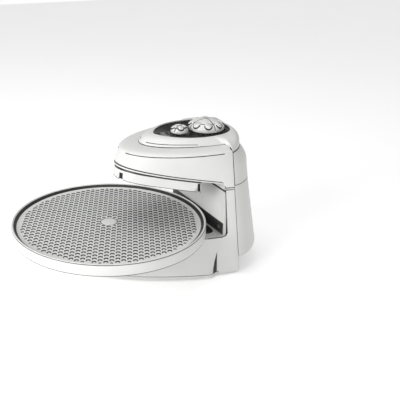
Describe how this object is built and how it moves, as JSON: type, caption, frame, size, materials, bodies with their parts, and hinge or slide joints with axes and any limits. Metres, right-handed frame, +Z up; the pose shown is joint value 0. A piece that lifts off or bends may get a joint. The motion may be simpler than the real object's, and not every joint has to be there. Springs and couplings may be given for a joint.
{
  "type": "electric pizza maker",
  "caption": "Countertop pizza oven with a turntable pan in front of a C-shaped body, whose tilted head holds the upper heater, a teardrop control panel, a timer knob and a heat selector.",
  "frame": {"origin": "bottom centre of the bounding box, on the surface that the feet stand on", "axes": "+Z up, -Y towards the person using it, +Y towards the tower, +X to the right as seen from the front"},
  "size_m": [0.32, 0.4273, 0.2444],
  "materials": {
    "housing_white": "satin moulded",
    "inner_white": "matt moulded",
    "panel_black": "gloss",
    "shield_black": "matt enamel",
    "knob_white": "satin moulded",
    "pan_coat": "coated sheet",
    "hub_plastic": "matt moulded",
    "reflector_steel": "bright sheet",
    "heater_rod": "heat-darkened",
    "sheet_steel": "plain",
    "fastener_steel": "zinc plated",
    "shaft_steel": "turned",
    "works_metal": "plain",
    "bell_steel": "bright",
    "switch_plastic": "phenolic",
    "foot_rubber": "matt",
    "gland_plastic": "matt",
    "ceramic": "unglazed",
    "wire_sleeve": "silicone sleeve"
  },
  "bodies": {
    "base": {"lower_housing": "housing_white", "upper_housing": "housing_white", "rear_cover_lower": "housing_white", "rear_cover_upper": "housing_white", "top_bezel": "housing_white", "control_panel": "panel_black", "deck_plate": "inner_white", "throat_liner": "inner_white", "throat_shield": "shield_black", "shield_screws": "fastener_steel", "head_floor": "inner_white", "head_screws": "fastener_steel", "base_plate": "inner_white", "base_screws": "fastener_steel", "rubber_feet": "foot_rubber", "rear_bracket": "sheet_steel", "rear_spacers": "sheet_steel", "rear_screws": "fastener_steel", "cable_gland": "gland_plastic", "upper_reflector": "reflector_steel", "lower_reflector": "reflector_steel", "upper_element": "heater_rod", "lower_element": "heater_rod", "upper_clips": "sheet_steel", "lower_clips": "sheet_steel", "ceramic_bushes": "ceramic", "thermal_cutout": "sheet_steel", "gear_motor": "works_metal", "motor_screws": "fastener_steel", "timer_body": "works_metal", "timer_bell": "bell_steel", "selector_switch": "switch_plastic", "panel_nuts": "fastener_steel", "terminal_block": "ceramic", "lead_wires": "wire_sleeve"},
    "turntable": {"drive_hub": "hub_plastic", "drive_shaft": "shaft_steel"},
    "pan": {"pan": "pan_coat"},
    "timer_control": {"timer_shaft": "shaft_steel", "timer_knob": "knob_white"},
    "selector_control": {"selector_shaft": "shaft_steel", "selector_knob": "knob_white"}
  },
  "joints": [
    {"name": "turntable_spin", "type": "hinge", "parent": "base", "child": "turntable", "pos_m": [0, -0.05365, 0.07], "axis": [0, 0, 1], "continuous": true},
    {"name": "pan_lift", "type": "slide", "parent": "turntable", "child": "pan", "axis": [0, 0, 1], "range_m": [0, 0.03]},
    {"name": "timer_turn", "type": "hinge", "parent": "base", "child": "timer_control", "pos_m": [0, 0.12385, 0.2255], "axis": [0, 0, -1], "range_deg": [0, 300]},
    {"name": "selector_turn", "type": "hinge", "parent": "base", "child": "selector_control", "pos_m": [0, 0.07335, 0.2255], "axis": [0, 0, -1], "range_deg": [-60, 60]}
  ]
}
